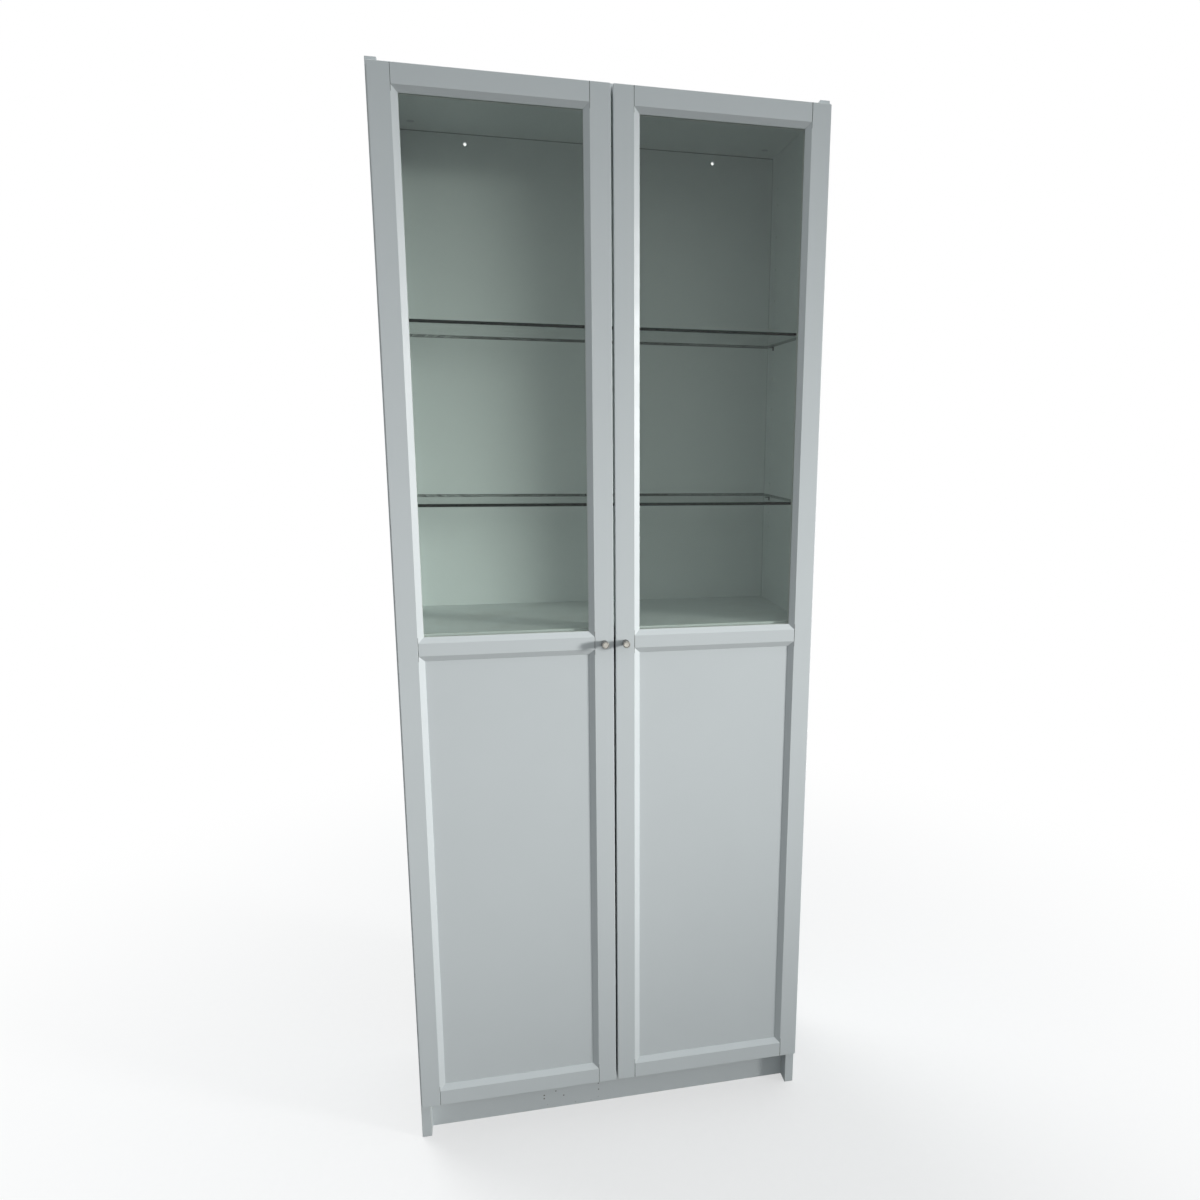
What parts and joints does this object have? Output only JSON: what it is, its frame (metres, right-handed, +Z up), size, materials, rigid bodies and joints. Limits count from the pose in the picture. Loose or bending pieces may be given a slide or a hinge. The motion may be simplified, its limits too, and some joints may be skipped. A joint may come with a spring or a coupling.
{
  "type": "bookcase",
  "caption": "Tall bookcase with hinged doors that are glazed above and panelled below, glass and wooden shelves on pegs, and a recessed plinth.",
  "frame": {"origin": "middle of the bounding box's bottom face, on the floor", "axes": "+X to the right seen from the front, +Y from the doors to the back, +Z up"},
  "size_m": [0.8, 0.323, 2.02],
  "materials": {
    "white_board": "satin white foil on particle board",
    "door_frame": "satin white foil on fibreboard",
    "door_panel": "satin white foil on thin fibreboard",
    "glazing_bead": "white plastic strip",
    "back_board": "white lacquered hardboard",
    "tape": "matt",
    "dowel_wood": "raw beech",
    "zinc_steel": "zinc plated",
    "nickel_steel": "nickel plated, satin",
    "peg_steel": "dark plated",
    "knob_nickel": "satin nickel",
    "door_glass": "clear",
    "shelf_glass": "clear, dark green edges",
    "felt": "matt"
  },
  "bodies": {
    "carcass": {"side_panel_left": "white_board", "side_panel_right": "white_board", "top_panel": "white_board", "middle_shelf": "white_board", "bottom_shelf": "white_board", "plinth": "white_board", "back_panel_left": "back_board", "back_panel_right": "back_board", "back_panel_tape": "tape", "back_panel_nails": "zinc_steel", "cam_bolts": "zinc_steel", "cam_nuts": "zinc_steel", "wood_dowels": "dowel_wood", "wall_brackets": "zinc_steel", "wall_bracket_screws": "zinc_steel", "glass_shelf_lower": "shelf_glass", "glass_shelf_upper": "shelf_glass", "adjustable_shelf_lower": "white_board", "adjustable_shelf_upper": "white_board", "glass_shelf_pegs": "peg_steel", "adjustable_shelf_pegs": "peg_steel", "hinge_plates": "nickel_steel", "hinge_plate_screws": "zinc_steel", "hinge_arms": "nickel_steel", "hinge_arm_screws": "zinc_steel", "hinge_arm_pins": "zinc_steel"},
    "left_links": {"left_hinge_links": "nickel_steel"},
    "right_links": {"right_hinge_links": "nickel_steel"},
    "left_door": {"left_door_hinge_stile": "door_frame", "left_door_meeting_stile": "door_frame", "left_door_bottom_rail": "door_frame", "left_door_middle_rail": "door_frame", "left_door_top_rail": "door_frame", "left_door_frame_dowels": "dowel_wood", "left_door_glass": "door_glass", "left_door_panel": "door_panel", "left_door_glass_beads": "glazing_bead", "left_door_panel_beads": "glazing_bead", "left_door_hinge_cups": "nickel_steel", "left_door_cup_screws": "zinc_steel", "left_door_cup_pins": "zinc_steel", "left_door_knob": "knob_nickel", "left_door_knob_screw": "zinc_steel", "left_door_bumpers": "felt"},
    "right_door": {"right_door_hinge_stile": "door_frame", "right_door_meeting_stile": "door_frame", "right_door_bottom_rail": "door_frame", "right_door_middle_rail": "door_frame", "right_door_top_rail": "door_frame", "right_door_frame_dowels": "dowel_wood", "right_door_glass": "door_glass", "right_door_panel": "door_panel", "right_door_glass_beads": "glazing_bead", "right_door_panel_beads": "glazing_bead", "right_door_hinge_cups": "nickel_steel", "right_door_cup_screws": "zinc_steel", "right_door_cup_pins": "zinc_steel", "right_door_knob": "knob_nickel", "right_door_knob_screw": "zinc_steel", "right_door_bumpers": "felt"}
  },
  "joints": [
    {"name": "left_link_turn", "type": "hinge", "parent": "carcass", "child": "left_links", "pos_m": [-0.364, -0.109, 1.048], "axis": [0, 0, 1], "range_deg": [0, 20.9]},
    {"name": "left_door_swing", "type": "hinge", "parent": "left_links", "child": "left_door", "pos_m": [-0.3867, -0.1266, 1.048], "axis": [0, 0, -1], "range_deg": [0, 115.9]},
    {"name": "right_link_turn", "type": "hinge", "parent": "carcass", "child": "right_links", "pos_m": [0.364, -0.109, 1.048], "axis": [0, 0, -1], "range_deg": [0, 20.9]},
    {"name": "right_door_swing", "type": "hinge", "parent": "right_links", "child": "right_door", "pos_m": [0.3867, -0.1266, 1.048], "axis": [0, 0, 1], "range_deg": [0, 115.9]}
  ],
  "couplings": [
    {"joint": "left_link_turn", "follows": "left_door_swing", "ratio": 0.18033},
    {"joint": "right_link_turn", "follows": "right_door_swing", "ratio": 0.18033}
  ]
}
